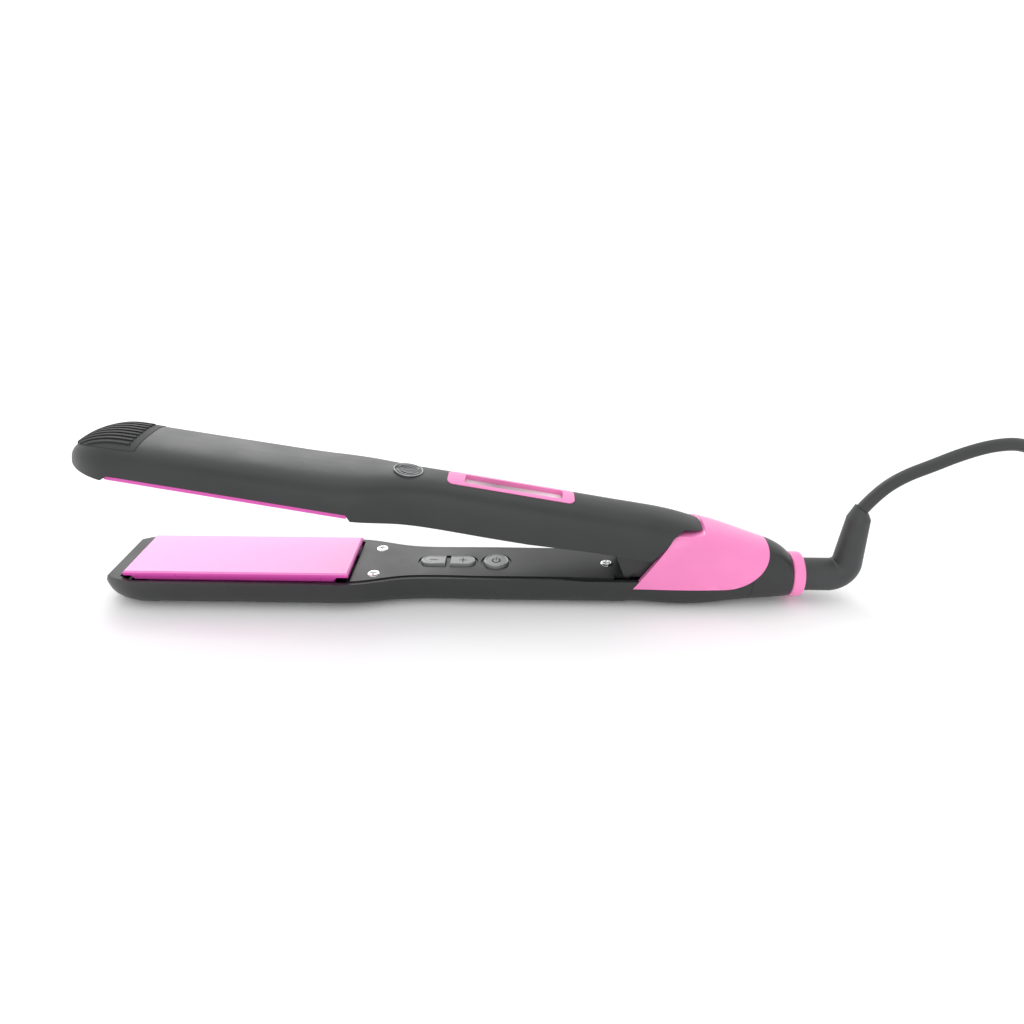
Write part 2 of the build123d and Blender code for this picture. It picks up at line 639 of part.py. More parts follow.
def make_upper_inner_cover():
    """Cover of the upper handle, bent to follow the parting edge."""
    places = (PLATE_BACK + 2.5, UPPER_EDGE[1][0], UPPER_EDGE[2][0], REAR_X + 2)
    near = [(x, upper_face_at(x)) for x in places]
    far = [(x, z + COVER_THICK) for x, z in reversed(near)]
    cover = across(xz_face(*near, *far), 30) & arm_blank(UPPER, WALL + FIT)
    skirt_room = block(SKIRT_FRONT_X - 1.2, 0, 30, -5, 20) - block(-100, 50, SKIRT_IN - RUN, -9, 30)
    cover = cover - skirt_room
    for hole in at_screws(screw_hole(), upper_face_at):
        cover = cover - hole
    return cover


def make_bezel():
    return (bezel_stamp() & arm_blank(UPPER, -BEZEL_PROUD)) - screen_stamp()


def make_lens():
    """Window with a foot under the bezel and a raised face in its opening."""
    z = BEZEL_SEAT - LENS_THICK / 2
    foot = Pos(BEZEL_X + SCREEN_SHIFT, 0, z) * Box(SCREEN_LENGTH + 2, SCREEN_WIDTH + 2, LENS_THICK)
    outline = RectangleRounded(SCREEN_LENGTH - 0.1, SCREEN_WIDTH - 0.1, 0.95)
    face = extrude(outline, LENS_PROUD)
    return foot + Pos(BEZEL_X + SCREEN_SHIFT, 0, BEZEL_SEAT) * face


DISPLAY_THICK = 1.8
DISPLAY_Z = BEZEL_SEAT - LENS_THICK - DISPLAY_THICK / 2
DISPLAY_X = (BEZEL_X - BEZEL_LENGTH / 2 + 2, BEZEL_X + BEZEL_LENGTH / 2 - 2)


def make_display_board():
    length = DISPLAY_X[1] - DISPLAY_X[0]
    return Pos(sum(DISPLAY_X) / 2, 0, DISPLAY_Z) * Box(length, SCREEN_WIDTH + 6, DISPLAY_THICK)


def make_badge():
    return (badge_stamp() & arm_blank(UPPER, -0.2)) - arm_blank(UPPER, BADGE_DEPTH)


# ---------------------------------------------------------------- hinge
def make_hinge_cover():
    return (REAR_BLANK - rear_blank(COVER_WALL)) & across(cover_outline(), 40)


def make_bushes():
    sleeve = along_y(BUSH_RADIUS, KNUCKLE_IN, KNUCKLE_OUT)
    return sleeve - along_y(PIN_RADIUS + BORE_RUN, 0, 20)


SPRING_WIRE = 0.6
SPRING_RADIUS = 3.5
SPRING_TURNS = 4
SPRING_PITCH = 1.6


def make_spring():
    """Torsion spring round the pin; its legs press the two arms apart."""
    coil = Helix(SPRING_PITCH, SPRING_PITCH * SPRING_TURNS, SPRING_RADIUS)
    start = coil @ 0
    ring = Plane(start, z_dir=coil % 0) * Circle(SPRING_WIRE)
    wound = sweep(ring, path=coil)
    wound = Rot(90, 0, 0) * Pos(0, 0, -SPRING_PITCH * SPRING_TURNS / 2) * wound
    half = SPRING_PITCH * SPRING_TURNS / 2
    centre = Vector(SPRING_RADIUS, 0, 0)
    low = rod((centre.X, half, 0.6), (centre.X - 2, half, -13), SPRING_WIRE)
    high = rod((centre.X, -half, -0.6), (centre.X - 5, -half, 10), SPRING_WIRE)
    return Pos(0, 0, HINGE_Z) * (wound + low + high)


# ---------------------------------------------------------------- collar and swivel
BORE_RADIUS = 4.3
NECK_RADIUS = 4.2
TUBE_RADIUS = 6.7
DRUM_RADIUS = 3.4
SLIP_RADIUS = 4.6
SLIP_PLACES = (23.5, 28.0)
SLIP_WIDTH = 2.2
COLLAR_END_WALL = 2.4


def along_x(radius, x0, x1, y=0.0, z=SWIVEL_Z):
    return rod((x0, y, z), (x1, y, z), radius)


def make_collar():
    keep = xz_face((COLLAR_X + FIT, -2), (RING_X, -2), (RING_X, 45), (COLLAR_X + FIT, 45))
    outer = REAR_BLANK & across(keep - cover_outline(FIT), 40)
    hollow = rear_blank(COVER_WALL) & block(0, RING_X - COLLAR_END_WALL, 40, -5, 50)
    return outer - hollow - along_x(BORE_RADIUS, 30, 45)


def make_ring():
    ring = along_x(RING_RADIUS, RING_X, RING_X + RING_LENGTH)
    ring = fillet(ring.edges().filter_by(GeomType.CIRCLE), 1.2)
    return ring - along_x(TUBE_RADIUS + RUN, RING_X - 1, RING_X + RING_LENGTH + 1)


def make_rotor():
    """Spindle that turns in the collar and carries the slip rings."""
    flange = along_x(6.4, RING_X - COLLAR_END_WALL - 2.2, RING_X - COLLAR_END_WALL - 0.2)
    neck = along_x(NECK_RADIUS, RING_X - COLLAR_END_WALL - 1, RING_X + 0.6)
    drum = along_x(DRUM_RADIUS, SLIP_PLACES[0] - 2, RING_X - COLLAR_END_WALL - 1)
    return flange + neck + drum


def make_slip_rings():
    rings = []
    for x in SLIP_PLACES:
        outer = along_x(SLIP_RADIUS, x, x + SLIP_WIDTH)
        rings.append(outer - along_x(DRUM_RADIUS + 0.01, x - 1, x + SLIP_WIDTH + 1))
    return rings


def make_contacts():
    """Two brass leaves that rub on the slip rings."""
    leaves = []
    for x in SLIP_PLACES:
        y = SLIP_RADIUS + 0.1
        leaf = Pos(x + SLIP_WIDTH / 2, y + 0.3, SWIVEL_Z) * Box(SLIP_WIDTH - 0.4, 0.6, 8)
        foot = Pos(x + SLIP_WIDTH / 2, y / 2 + 0.3, SWIVEL_Z - 5.3) * Box(SLIP_WIDTH - 0.4, y + 0.6, 0.6)
        knee = Pos(x + SLIP_WIDTH / 2, y + 0.3, SWIVEL_Z - 4.5) * Box(SLIP_WIDTH - 0.4, 0.6, 2.2)
        leaves.append(leaf + foot + knee)
    return leaves


# ---------------------------------------------------------------- cord
CORD_ROUTE = [
    (62.3, 0.0, 40.6), (66.8, 0.0, 48.0), (74.8, 0.0, 54.8), (85.0, 0.5, 59.2),
    (95.0, 2.0, 63.2), (107.0, 4.0, 66.2), (120.0, 7.0, 66.0), (133.0, 10.5, 60.0),
    (144.5, 14.0, 49.0), (155.0, 17.0, 38.5), (166.0, 18.9, 29.8), (179.5, 19.4, 23.4),
    (195.0, 18.6, 19.8), (212.0, 17.0, 18.2), (230.0, 16.0, 17.9), (250.0, 16.0, 17.9),
]
HANK_STRAIGHT = 84.0       # the rest of the cord is wound as a long hank: two straight sides
HANK_RADIUS = 18.5         # and two round ends, this far out from its middle line
HANK_HOLLOW = 8.3
COIL_HEIGHT = 20.4
COIL_EDGE = 2.4
POCKET_DEPTH = HANK_STRAIGHT / 2 + 4   # from the hank's middle to where the free cord meets it
COIL_X = CORD_ROUTE[-1][0] + POCKET_DEPTH
TURN_OUT = HANK_RADIUS - CORD_RADIUS


RISER_RADIUS = 5.7
ELBOW_PIVOT = 0.4          # how far the bend's centre stands off its inner side


def make_elbow():
    """Angled strain relief: a level tube, a bend that slims and a tapered riser."""
    pivot_x = ELBOW_X - RISER_RADIUS - ELBOW_PIVOT
    pivot_z = SWIVEL_Z + TUBE_RADIUS + ELBOW_PIVOT
    level = along_x(TUBE_RADIUS, RING_X + 0.6, pivot_x)
    rings = []
    for step in range(5):
        angle = radians(22.5 * step)
        radius = TUBE_RADIUS + (RISER_RADIUS - TUBE_RADIUS) * step / 4
        reach = radius + ELBOW_PIVOT
        centre = (pivot_x + reach * sin(angle), 0, pivot_z - reach * cos(angle))
        rings.append(Plane(centre, x_dir=(0, 1, 0), z_dir=(cos(angle), 0, sin(angle))) * Circle(radius))
    bend = loft(rings)
    low = Plane((ELBOW_X, 0, pivot_z)) * Circle(RISER_RADIUS)
    high = Plane((ELBOW_X + 0.4, 0, 36.6)) * Circle(4.5)
    riser = loft([low, high])
    start, after = Vector(*CORD_ROUTE[0]), Vector(*CORD_ROUTE[1])
    lean = (after - start).normalized()
    tip = loft([high, Plane(start, z_dir=lean) * Circle(CORD_RADIUS + 0.7)])
    return level + bend + riser + tip


def corner_radii(points):
    """Each arc is as large as its two runs allow."""
    radii = []
    for before, here, after in zip(points, points[1:], points[2:]):
        first = Vector(*here) - Vector(*before)
        second = Vector(*after) - Vector(*here)
        turn = radians(first.get_angle(second))
        radii.append(0.45 * min(first.length, second.length) / tan(turn / 2))
    return radii


def make_cord_tube():
    radii = corner_radii(CORD_ROUTE)
    path = FilletPolyline(*CORD_ROUTE, radius=radii)
    print("cord radii", [round(value, 1) for value in radii])
    print("cord tube length", round(path.length, 1))
    lean = Vector(*CORD_ROUTE[1]) - Vector(*CORD_ROUTE[0])
    tube = sweep(Plane(CORD_ROUTE[0], z_dir=lean) * Circle(CORD_RADIUS), path=path)
    print("cord tube volume ratio", round(tube.volume / (pi * CORD_RADIUS ** 2 * path.length), 4))
    return tube


TAIL_RUN = [(0.0, 0.0), (-13.0, 0.0), (-21.0, 6.5), (-29.0, 6.5)]
TIE_WIDTH = 9.0


def hank_slab(radius):
    """Solid with two straight sides and two round ends, as high as the hank."""
    return extrude(SlotOverall(HANK_STRAIGHT + 2 * radius, 2 * radius), COIL_HEIGHT)


def make_cord_coil():
    """Outer shape of the turns, with a pocket where the cord comes in and one where it leaves."""
    hank = hank_slab(HANK_RADIUS)
    flat = hank.faces().sort_by(Axis.Z)
    hank = fillet(flat[0].edges() + flat[-1].edges(), COIL_EDGE) - hank_slab(HANK_HOLLOW)
    reach = HANK_STRAIGHT / 2 + HANK_RADIUS - POCKET_DEPTH + 5
    side = 2 * (CORD_RADIUS + 0.1)
    for y, z in ((TURN_OUT, CORD_ROUTE[-1][2] + 1), (-TURN_OUT, CORD_RADIUS - 1)):
        hank = hank - Pos(-POCKET_DEPTH - reach / 2, y, z) * Box(reach, side, side + 2)
    return Pos(COIL_X, 0, 0) * hank


def make_coil_tie():
    """Fabric strap over the middle of the hank, down both its sides."""
    over = Pos(0, 0, COIL_HEIGHT / 2) * Box(TIE_WIDTH, 2 * HANK_RADIUS + 3, COIL_HEIGHT + 2)
    under = Pos(0, 0, COIL_HEIGHT / 2) * Box(
        TIE_WIDTH + 2, 2 * HANK_RADIUS + 1.0, COIL_HEIGHT + 0.2)
    floor = Pos(0, 0, -5) * Box(TIE_WIDTH + 2, 3 * HANK_RADIUS, 10)
    strap = fillet(over.edges().filter_by(Axis.X), 1.5) - under - floor
    return Pos(COIL_X, 0, 0) * strap


PLUG_WIDTH = 26.0
PLUG_THICK = 13.6
PLUG_LENGTH = 34.0
PIN_LENGTH = 19.0
PIN_SPACING = 18.6
PLUG_PIN_RADIUS = 2.0
PLUG_RELIEF = 16.0


def tail_start():
    return Vector(COIL_X - POCKET_DEPTH, -TURN_OUT, CORD_RADIUS)


def make_cord_tail():
    """Short free end between the hank and the plug, with an easy bend in it."""
    start = tail_start()
    route = [(start.X + x, start.Y + y, start.Z) for x, y in TAIL_RUN]
    path = FilletPolyline(*route, radius=corner_radii(route))
    return sweep(Plane(route[0], z_dir=(-1, 0, 0)) * Circle(CORD_RADIUS), path=path)


def make_plug():
    """Flat two-pin plug with a tapered strain relief, lying on its broad side."""
    start = tail_start() + Vector(0, TAIL_RUN[-1][1], 0)
    x = start.X + TAIL_RUN[-1][0]
    z = PLUG_THICK / 2
    relief = loft([Plane((x, start.Y, start.Z), z_dir=(-1, 0, 0)) * Circle(CORD_RADIUS),
                   Plane((x - PLUG_RELIEF, start.Y, z), z_dir=(-1, 0, 0)) * Circle(5.2)])
    body_x = x - PLUG_RELIEF
    half = PLUG_WIDTH / 2
    outline = Polyline((body_x + 0.6, -7.5), (body_x - 12, -half), (body_x - PLUG_LENGTH, -half),
                       (body_x - PLUG_LENGTH, half), (body_x - 12, half), (body_x + 0.6, 7.5),
                       close=True)
    body = extrude(make_face(outline), PLUG_THICK)
    body = fillet(body.edges().filter_by(Axis.Z), 2.5)
    body = fillet(body.faces().sort_by(Axis.Z)[-1].edges(), 2.5)
    body = Pos(0, start.Y, 0) * body
    face_x = body_x - PLUG_LENGTH
    pins = []
    for side in (-1, 1):
        y = start.Y + side * PIN_SPACING / 2
        pin = rod((face_x + 6, y, z), (face_x - PIN_LENGTH, y, z), PLUG_PIN_RADIUS)
        pins.append(pin)
        body = body - rod((face_x + 6, y, z), (face_x - 1, y, z), PLUG_PIN_RADIUS + 0.01)
    return relief + body, pins


# ---------------------------------------------------------------- leads
LEAD_RADIUS = 0.8


def lead(points):
    path = FilletPolyline(*points, radius=3.0)
    first = Vector(*points[1]) - Vector(*points[0])
    return sweep(Plane(points[0], z_dir=first) * Circle(LEAD_RADIUS), path=path)


def lead_pair(spread, points):
    """Two leads side by side; each point is (x, z) or (x, z, share of the spread)."""
    leads = []
    for side in (-1, 1):
        path = [(p[0], side * spread * (p[2] if len(p) > 2 else 1), p[1]) for p in points]
        leads.append(lead(path))
    return leads


def make_supply_leads():
    return lead_pair(4.2, [(SLIP_PLACES[0] - 3, 5.0), (8, 3.8), (BOARD_X[1] + 4, 3.8),
                           (BOARD_X[1] - 1.5, BOARD_Z - 0.9)])


def make_hinge_leads():
    """Leads from the control board up into the upper arm, between the webs."""
    return lead_pair(5.0, [(BOARD_X[1] + 0.2, BOARD_Z + 0.7), (REAR_X - 12, 8.0), (REAR_X + 3, 8.6, 0.5),
                           (REAR_X + 9, 14, 0.5), (REAR_X + 10, 23, 0.5), (REAR_X + 2, 29, 0.55),
                           (REAR_X - 12, 32)])


def make_heater_leads(end_x, end_z):
    return lead_pair(5.8, [(PLATE_BACK - 15.7, FLANGE_END + 1.2), (PLATE_BACK - 4, 6.4),
                           (PLATE_BACK + 8, 7.4), (end_x, end_z)])


# ---------------------------------------------------------------- writing
def write(name, shape):
    solids = shape if isinstance(shape, list) else shape.solids()
    solids = [solid for piece in solids for solid in piece.solids()]
    shape = solids[0] if len(solids) == 1 else Compound(children=solids)
    export_step(shape, "parts/" + name + ".step")


def place_all(place, shape):
    return [place(piece) for piece in shape] if isinstance(shape, list) else place(shape)


lower_grip, lower_stamp = make_grip(LOWER)
upper_grip, upper_stamp = make_grip(UPPER)
lower_grip_cut = lower_place(lower_stamp - arm_blank(LOWER, 1.0))
plug_body, plug_pins = make_plug()

write("lower_housing", make_lower_housing() - lower_grip_cut)
write("lower_inner_cover", make_lower_inner_cover())
write("lower_tip_grip", lower_place(lower_grip) & ABOVE_REST)
write("lower_cover_screws", place_all(lower_place, at_screws(make_screw(), lower_face_at)))
write("lower_plate_seat", lower_place(make_seat(LOWER)))
write("control_board", make_board())
write("push_switches", make_switches())
write("board_screws", make_board_screws())
write("indicator_window", make_indicator())
for kind in ("minus", "plus", "power"):
    write(kind + "_button", make_button(kind))

write("upper_housing", make_upper_housing(upper_stamp))
write("upper_inner_cover", upper_place(make_upper_inner_cover()))
write("upper_tip_grip", upper_place(upper_grip))
write("upper_cover_screws", place_all(upper_place, at_screws(make_screw(), upper_face_at)))
write("upper_plate_seat", upper_place(make_seat(UPPER)))
write("display_bezel", upper_place(make_bezel()))
write("display_lens", upper_place(make_lens()))
write("display_board", upper_place(make_display_board()))
write("round_badge", upper_place(make_badge()))

for arm, place in (("lower", lower_place), ("upper", upper_place)):
    write(arm + "_plate", place(make_plate()))
    write(arm + "_heater", place(make_heater()))
    write(arm + "_heater_clamp", place(make_clamp()))
    write(arm + "_plate_cushions", place_all(place, make_cushions()))
board_depth = ARM_DEPTH - BOARD_Z - BOARD_THICK / 2
write("lower_heater_leads", place_all(lower_place, make_heater_leads(BOARD_X[0] - 0.1, board_depth)))
write("upper_heater_leads", place_all(upper_place, make_heater_leads(DISPLAY_X[0] - 0.1, DISPLAY_Z)))
write("temperature_sensor", lower_place(make_sensor(1.1, 6.0)))
write("thermal_fuse", upper_place(make_sensor(1.5, 9.0)))

write("hinge_cover", make_hinge_cover())
write("hinge_pin", rod((0, -LUG_OUT, HINGE_Z), (0, LUG_OUT, HINGE_Z), PIN_RADIUS))
write("hinge_bushes", make_bushes())
write("arm_spring", make_spring())
write("hinge_leads", make_hinge_leads())
write("supply_leads", make_supply_leads())

write("swivel_collar", make_collar())
write("trim_ring", make_ring())
write("swivel_rotor", make_rotor())
write("slip_rings", make_slip_rings())
write("swivel_contacts", make_contacts())
write("cord_elbow", make_elbow())
write("cord_tube", make_cord_tube())
write("cord_coil", make_cord_coil())
write("coil_tie", make_coil_tie())
write("cord_tail", make_cord_tail())
write("plug_body", plug_body)
write("plug_pins", plug_pins)
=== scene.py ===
# %% [markdown]
# A hair straightener, lying open on its lower arm.
# The frame (housings, plates, keys, hinge) comes from the CAD model, and this file gives it
# finishes, adds the small pieces that make it look real, lays its cord and lights it.
# Everything is in metres: +Z is up, the tips point along -X and the cord leaves at +X.

# %% Load the frame
import json
import math

import bmesh
import bpy
from mathutils import Matrix, Vector


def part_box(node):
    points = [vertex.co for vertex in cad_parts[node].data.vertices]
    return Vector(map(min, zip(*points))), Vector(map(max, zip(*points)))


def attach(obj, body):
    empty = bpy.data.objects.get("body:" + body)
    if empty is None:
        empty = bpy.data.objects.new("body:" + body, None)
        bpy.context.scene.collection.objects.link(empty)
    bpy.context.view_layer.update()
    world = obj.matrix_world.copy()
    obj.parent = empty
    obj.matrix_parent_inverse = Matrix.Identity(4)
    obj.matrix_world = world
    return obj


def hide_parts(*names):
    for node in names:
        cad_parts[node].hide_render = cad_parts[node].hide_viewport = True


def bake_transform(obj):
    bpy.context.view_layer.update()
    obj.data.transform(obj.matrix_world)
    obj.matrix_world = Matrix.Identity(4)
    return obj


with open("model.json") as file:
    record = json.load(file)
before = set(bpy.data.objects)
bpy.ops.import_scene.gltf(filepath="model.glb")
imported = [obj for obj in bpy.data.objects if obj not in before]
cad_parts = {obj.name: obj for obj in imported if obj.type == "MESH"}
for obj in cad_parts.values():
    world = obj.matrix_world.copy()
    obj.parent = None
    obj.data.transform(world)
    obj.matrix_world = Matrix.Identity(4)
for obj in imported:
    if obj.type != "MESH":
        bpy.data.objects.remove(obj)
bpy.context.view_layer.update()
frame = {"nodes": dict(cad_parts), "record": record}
nodes = frame["nodes"]
scene = bpy.context.scene
MM = 0.001
OPEN_TURN = math.radians(9.9)      # the upper arm's lift at rest

# %% [markdown]
# The camera comes first, because the cord is judged by what it sees.
# It stands a quarter of a metre in front of the object and looks down at it a little, through a
# wide lens, which is why the near sides of the arms look long and the far tip leans in.

# %% Camera
camera_data = bpy.data.cameras.new("camera")
camera = bpy.data.objects.new("camera", camera_data)
scene.collection.objects.link(camera)
camera.location = (-0.0691, -0.2527, 0.1681)
camera.rotation_euler = (math.radians(62.713), 0, math.radians(1.335))
camera_data.lens = 25.14
camera_data.sensor_width = 36
camera_data.clip_start = 0.01
scene.camera = camera
scene.view_settings.view_transform = "Standard"
print("camera height", round(camera.location.z, 3))


# %% [markdown]
# Small helpers for meshes and objects.
# A finished piece keeps its object at the origin and its place in its mesh, so every helper
# works in the shared frame from the start and nothing has to be moved afterwards.

# %% Helpers for pieces
def add_piece(name, mesh):
    piece = bpy.data.objects.new(name, mesh)
    scene.collection.objects.link(piece)
    return piece


def from_bmesh(name, shape, smooth=True):
    """A piece from a bmesh, with doubles merged and faces pointing outwards."""
    bmesh.ops.remove_doubles(shape, verts=shape.verts, dist=1e-7)
    bmesh.ops.recalc_face_normals(shape, faces=shape.faces)
    mesh = bpy.data.meshes.new(name)
    shape.to_mesh(mesh)
    shape.free()
    for face in mesh.polygons:
        face.use_smooth = smooth
    return add_piece(name, mesh)


def bake_modifiers(piece):
    """Turns the evaluated piece into a plain mesh and takes its modifiers off."""
    bpy.context.view_layer.update()
    seen = piece.evaluated_get(bpy.context.evaluated_depsgraph_get())
    mesh = bpy.data.meshes.new_from_object(seen)
    piece.modifiers.clear()
    piece.data = mesh
    return piece


print("helpers ready, pieces are made at the origin")

# %% [markdown]
# Finishes. Each is a small node tree round one Principled shader.
# A moulded plastic is never one flat colour: it has a fine spark-eroded grain that breaks up
# the highlight, and handling leaves it a little shinier in cloudy patches. Both come from
# noise on Object coordinates, so they sit still on the piece when it moves.

# %% Helpers for finishes
def new_finish(name, color, roughness, metallic=0.0):
    material = bpy.data.materials.new(name)
    material.use_nodes = True
    tree = material.node_tree
    shader = tree.nodes["Principled BSDF"]
    shader.inputs["Base Color"].default_value = (*color, 1)
    shader.inputs["Roughness"].default_value = roughness
    shader.inputs["Metallic"].default_value = metallic
    place = tree.nodes.new("ShaderNodeTexCoord")
    return material, tree, shader, place


def noise(tree, place, scale, detail=3.0, stretch=(1, 1, 1)):
    mapping = tree.nodes.new("ShaderNodeMapping")
    mapping.inputs["Scale"].default_value = stretch
    texture = tree.nodes.new("ShaderNodeTexNoise")
    texture.inputs["Scale"].default_value = scale
    texture.inputs["Detail"].default_value = detail
    tree.links.new(place.outputs["Object"], mapping.inputs["Vector"])
    tree.links.new(mapping.outputs["Vector"], texture.inputs["Vector"])
    return texture.outputs["Fac"]


def ramp(tree, value, low, high, spots=(0.3, 0.7)):
    """Colour ramp between two colours, or two grey levels given as numbers."""
    node = tree.nodes.new("ShaderNodeValToRGB")
    for element, color, spot in zip(node.color_ramp.elements, (low, high), spots):
        grey = color if isinstance(color, tuple) else (color, color, color)
        element.color = (*grey, 1)
        element.position = spot
    tree.links.new(value, node.inputs["Fac"])
    return node.outputs["Color"]


def bump(tree, shader, height, distance, strength=1.0):
    node = tree.nodes.new("ShaderNodeBump")
    node.inputs["Distance"].default_value = distance
    node.inputs["Strength"].default_value = strength
    tree.links.new(height, node.inputs["Height"])
    tree.links.new(node.outputs["Normal"], shader.inputs["Normal"])
    return node


def moulded(name, color, roughness, grain=2600, depth=0.00002, cloud=60, coat=0.0, wear=0.06):
    """Moulded plastic or rubber: clouded sheen, slight colour drift and a fine grain."""
    material, tree, shader, place = new_finish(name, color, roughness)
    patches = noise(tree, place, cloud)
    drift = tuple(min(1.0, c * 1.25 + 0.003) for c in color)
    tree.links.new(ramp(tree, patches, color, drift), shader.inputs["Base Color"])
    sheen = ramp(tree, patches, roughness - wear, roughness + wear)
    tree.links.new(sheen, shader.inputs["Roughness"])
    bump(tree, shader, noise(tree, place, grain, 2.0), depth, 0.5)
    shader.inputs["Coat Weight"].default_value = coat
    shader.inputs["Coat Roughness"].default_value = 0.08
    return material


def metal(name, color, roughness, stretch=(1, 1, 1), scale=900):
    """Metal with fine drawn or turned lines along one direction."""
    material, tree, shader, place = new_finish(name, color, roughness, 1.0)
    lines = noise(tree, place, scale, 4.0, stretch)
    tree.links.new(ramp(tree, lines, roughness * 0.7, roughness * 1.4), shader.inputs["Roughness"])
    bump(tree, shader, lines, 0.00001, 0.4)
    return material


# %% [markdown]
# The housings are charcoal plastic with a soft-touch feel, the finger pads a duller rubber.
# The pink trim is polished plastic under a clear coat, so it mirrors the studio.

# %% Finishes of plastic and rubber
charcoal = moulded("charcoal_soft_touch", (0.0125, 0.0138, 0.0138), 0.42, wear=0.05)
charcoal_inner = moulded("charcoal_satin", (0.015, 0.0162, 0.0162), 0.38, grain=3400)
pad_rubber = moulded("pad_rubber", (0.012, 0.0125, 0.013), 0.62, grain=1800, depth=0.00004)
pink_gloss = moulded("pink_polished", (0.74, 0.185, 0.43), 0.26, grain=500, depth=0.000004,
                     cloud=25, coat=0.5, wear=0.03)
cord_sheath = moulded("cord_sheath", (0.022, 0.023, 0.0235), 0.5, grain=1500, depth=0.00003)
relief_rubber = moulded("relief_rubber", (0.027, 0.029, 0.0295), 0.48, grain=1900, depth=0.00003)
key_silver = moulded("key_silver", (0.23, 0.24, 0.24), 0.32, grain=3000, coat=0.3)
key_ink = moulded("key_ink", (0.02, 0.021, 0.022), 0.4)
seat_black = moulded("seat_black", (0.014, 0.014, 0.015), 0.6)
heater_clay = moulded("heater_ceramic", (0.7, 0.67, 0.58), 0.7, grain=1200, depth=0.00005)
silicone = moulded("silicone", (0.5, 0.49, 0.46), 0.55)
board_green = moulded("board_green", (0.015, 0.12, 0.045), 0.35, grain=700, depth=0.00003, coat=0.4)
switch_black = moulded("switch_black", (0.03, 0.03, 0.03), 0.5)
lead_sleeve = moulded("lead_sleeve", (0.02, 0.02, 0.02), 0.5)
bulb_glass = moulded("sensor_resin", (0.35, 0.16, 0.05), 0.25, coat=0.6)
screw_steel = metal("screw_plated", (0.78, 0.79, 0.79), 0.22)
spring_steel = metal("spring_steel", (0.55, 0.55, 0.56), 0.3, stretch=(1, 8, 1))
brass = metal("brass", (0.78, 0.57, 0.26), 0.25, stretch=(8, 1, 1))
silver_line = metal("badge_silver", (0.36, 0.37, 0.38), 0.34)
print("finishes", len(bpy.data.materials))


# %% [markdown]
# The plates are aluminium under a thin, satin, pink ceramic coat. Their base colour carries
# a painted reflection, chosen by the object-space normal, which stays with the piece: nearly
# white-pink on the flat faces, for the pale room they mirror, and deep magenta on the edges,
# the coat's own colour painted darker for the dark housing they face.

# %% Finish of the plates
def plate_finish(name, flat_side):
    material, tree, shader, place = new_finish(name, (0.9, 0.4, 0.8), 0.22)
    direction = tree.nodes.new("ShaderNodeVectorMath")
    direction.operation = "DOT_PRODUCT"
    direction.inputs[1].default_value = flat_side
    tree.links.new(place.outputs["Normal"], direction.inputs[0])
    painted_reflection_share = direction.outputs["Value"]
    # painted reflection: white-pink where the face looks along flat_side, painted darker magenta on
    # the edges
    painted_reflection_tones = ramp(tree, painted_reflection_share, (0.74, 0.085, 0.46), (0.9, 0.36, 0.7), (0.45, 0.95))
    speck = noise(tree, place, 5000, 1.0)
    mix = tree.nodes.new("ShaderNodeMix")
    mix.data_type = "RGBA"
    mix.blend_type = "MULTIPLY"
    mix.inputs["Factor"].default_value = 0.10
    tree.links.new(painted_reflection_tones, mix.inputs["A"])
    tree.links.new(ramp(tree, speck, 0.75, 1.0), mix.inputs["B"])
    tree.links.new(mix.outputs["Result"], shader.inputs["Base Color"])
    brushed = noise(tree, place, 400, 3.0, (1, 14, 1))
    tree.links.new(ramp(tree, brushed, 0.26, 0.4), shader.inputs["Roughness"])
    bump(tree, shader, brushed, 0.000004, 0.4)
    shader.inputs["Coat Weight"].default_value = 0.25
    shader.inputs["Coat Roughness"].default_value = 0.15
    return material


# each plate's painted reflection follows its own flat face, the upper one tilted with the arm
lower_plate_coat = plate_finish("lower_plate_coat", (0, 0, 1))
upper_plate_coat = plate_finish("upper_plate_coat", (-math.sin(OPEN_TURN), 0, -math.cos(OPEN_TURN)))

# %% [markdown]
# The display is off, so its window only shows the room's grey reflection in its glossy face.
# That reflection is painted: a grey gradient in the base colour along the window, pale at the
# tip end, darker before the middle and palest towards the hinge.

# %% Finish of the display window
lens_finish, tree, shader, place = new_finish("display_glass", (0.5, 0.5, 0.5), 0.12)
low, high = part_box("display_lens")
mapping = tree.nodes.new("ShaderNodeMapping")
mapping.inputs["Location"].default_value = (-low.x / (high.x - low.x), 0, 0)
mapping.inputs["Scale"].default_value = (1 / (high.x - low.x), 1, 1)
split = tree.nodes.new("ShaderNodeSeparateXYZ")
tree.links.new(place.outputs["Object"], mapping.inputs["Vector"])
tree.links.new(mapping.outputs["Vector"], split.inputs["Vector"])
# painted reflection of the room, laid along the window's length in the base colour
sweep = tree.nodes.new("ShaderNodeValToRGB")
for spot, grey in ((0.35, 0.34), (0.6, 0.5), (0.9, 0.8)):
    sweep.color_ramp.elements.new(spot).color = (grey, grey * 0.98, grey * 0.99, 1)
sweep.color_ramp.elements[0].color = (0.72, 0.7, 0.71, 1)
sweep.color_ramp.elements[-1].color = (0.6, 0.56, 0.6, 1)
tree.links.new(split.outputs["X"], sweep.inputs["Fac"])
tree.links.new(sweep.outputs["Color"], shader.inputs["Base Color"])
bump(tree, shader, noise(tree, place, 900, 2.0), 0.000003, 0.3)
shader.inputs["Coat Weight"].default_value = 1.0

